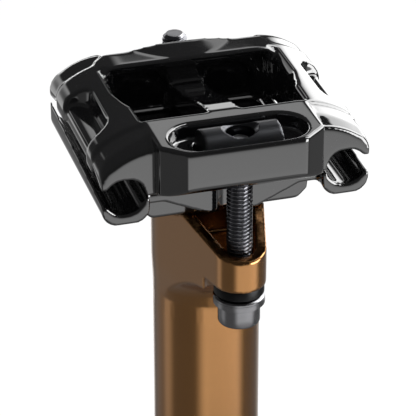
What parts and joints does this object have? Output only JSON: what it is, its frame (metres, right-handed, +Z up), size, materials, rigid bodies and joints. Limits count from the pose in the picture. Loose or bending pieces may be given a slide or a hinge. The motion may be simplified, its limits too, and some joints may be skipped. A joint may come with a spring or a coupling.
{
  "type": "dropper seatpost",
  "caption": "Telescopic bicycle seatpost: a gold upper tube slides in a black lower tube, with a two-bolt rail clamp on its forged head and a cable lever at its lower end.",
  "frame": {"origin": "on the post's axis at the lower face of the collar, where the post stops on the frame", "axes": "+Z up along the post, +X to the side, along the clamp's width, -Y towards the side the picture shows; the saddle rails run along Y"},
  "size_m": [0.0544, 0.0572, 0.4621],
  "materials": {
    "black_anodised": "matt black anodised tube",
    "seal_rubber": "moulded black seal rubber",
    "oiled_foam": "oil-soaked open foam",
    "bushing_liner": "bronze-backed plain bushing liner",
    "bumper_rubber": "moulded bumper rubber",
    "dark_alloy": "black anodised machined alloy",
    "zinc_steel": "zinc-plated screw",
    "ground_steel": "ground steel pin",
    "silver_alloy": "clear anodised alloy",
    "brass": "turned brass",
    "black_steel": "black oxide steel",
    "spring_steel": "spring wire",
    "chromed_rod": "hard chromed rod",
    "gold_anodised": "gold hard-anodised, satin",
    "blue_black_alloy": "dark blue anodised alloy",
    "gloss_black": "polished black anodised forging",
    "dark_steel": "blackened turned steel",
    "brushed_steel": "turned and brushed steel"
  },
  "bodies": {
    "lower": {"lower_post": "black_anodised", "collar": "black_anodised", "wiper_seal": "seal_rubber", "foam_ring": "oiled_foam", "upper_bushing": "bushing_liner", "bottom_bumper": "bumper_rubber", "actuator_housing": "dark_alloy", "housing_bolts": "zinc_steel", "lever_pivot_pin": "ground_steel", "cable_stop": "silver_alloy", "return_spring": "spring_steel", "piston_rod": "chromed_rod", "piston": "brass", "piston_seal": "seal_rubber"},
    "upper": {"upper_post": "gold_anodised", "lower_bushing": "bushing_liner", "guide_keys": "brass", "cartridge_body": "silver_alloy", "cartridge_cap": "blue_black_alloy", "rod_gland": "blue_black_alloy", "rod_seal": "seal_rubber", "top_out_bumper": "bumper_rubber", "front_seat_washer": "black_steel", "rear_seat_washer": "black_steel"},
    "free_piston": {"floating_piston": "brass", "floating_seal": "seal_rubber"},
    "clamp": {"lower_cradle": "gloss_black", "upper_clamp": "gloss_black"},
    "front_nut": {"front_barrel_nut": "dark_steel"},
    "rear_nut": {"rear_barrel_nut": "dark_steel"},
    "front_bolt_set": {"front_bolt": "brushed_steel", "front_flange_washer": "brushed_steel"},
    "rear_bolt_set": {"rear_bolt": "brushed_steel", "rear_flange_washer": "brushed_steel"},
    "lever": {"actuator_lever": "silver_alloy"},
    "barrel": {"cable_barrel": "brass", "barrel_grub_screw": "black_steel"},
    "valve": {"valve_rod": "ground_steel"}
  },
  "joints": [
    {"name": "post_slide", "type": "slide", "parent": "lower", "child": "upper", "axis": [0, 0, 1], "range_m": [-0.125, 0]},
    {"name": "free_piston_slide", "type": "slide", "parent": "upper", "child": "free_piston", "axis": [0, 0, 1], "range_m": [0, 0.03563]},
    {"name": "cradle_tilt", "type": "hinge", "parent": "upper", "child": "clamp", "pos_m": [0, 0, 0.2056], "axis": [1, 0, 0], "range_deg": [-6, 6]},
    {"name": "front_nut_turn", "type": "hinge", "parent": "clamp", "child": "front_nut", "pos_m": [0, -0.0229, 0.2014], "axis": [1, 0, 0], "range_deg": [-7.8, 7.8]},
    {"name": "rear_nut_turn", "type": "hinge", "parent": "clamp", "child": "rear_nut", "pos_m": [0, 0.0229, 0.1973], "axis": [1, 0, 0], "range_deg": [-8.4, 8.4]},
    {"name": "front_bolt_swing", "type": "hinge", "parent": "upper", "child": "front_bolt_set", "pos_m": [0, -0.0229, 0.1618], "axis": [1, 0, 0], "range_deg": [-1.8, 1.8]},
    {"name": "rear_bolt_swing", "type": "hinge", "parent": "upper", "child": "rear_bolt_set", "pos_m": [0, 0.0229, 0.1636], "axis": [1, 0, 0], "range_deg": [-2.4, 2.4]},
    {"name": "lever_pull", "type": "hinge", "parent": "lower", "child": "lever", "pos_m": [0, 0.0036, -0.236], "axis": [-1, 0, 0], "range_deg": [0, 12]},
    {"name": "barrel_turn", "type": "hinge", "parent": "lever", "child": "barrel", "pos_m": [0, 0.0086, -0.236], "axis": [-1, 0, 0], "range_deg": [-13, 1]},
    {"name": "valve_lift", "type": "slide", "parent": "lower", "child": "valve", "axis": [0, 0, 1], "range_m": [0, 0.000754], "stiffness_N_per_m": 400, "springref_m": -0.01, "deforming": ["return_spring"]}
  ],
  "couplings": [
    {"joint": "free_piston_slide", "follows": "post_slide", "ratio": -0.277},
    {"joint": "front_nut_turn", "follows": "cradle_tilt", "ratio": -1.1061},
    {"joint": "rear_nut_turn", "follows": "cradle_tilt", "ratio": -1.2463},
    {"joint": "front_bolt_swing", "follows": "cradle_tilt", "ratio": -0.1061},
    {"joint": "rear_bolt_swing", "follows": "cradle_tilt", "ratio": -0.2463},
    {"joint": "lever_pull", "follows": "valve_lift", "rad_per_m": 277.78},
    {"joint": "barrel_turn", "follows": "valve_lift", "rad_per_m": -277.78}
  ]
}
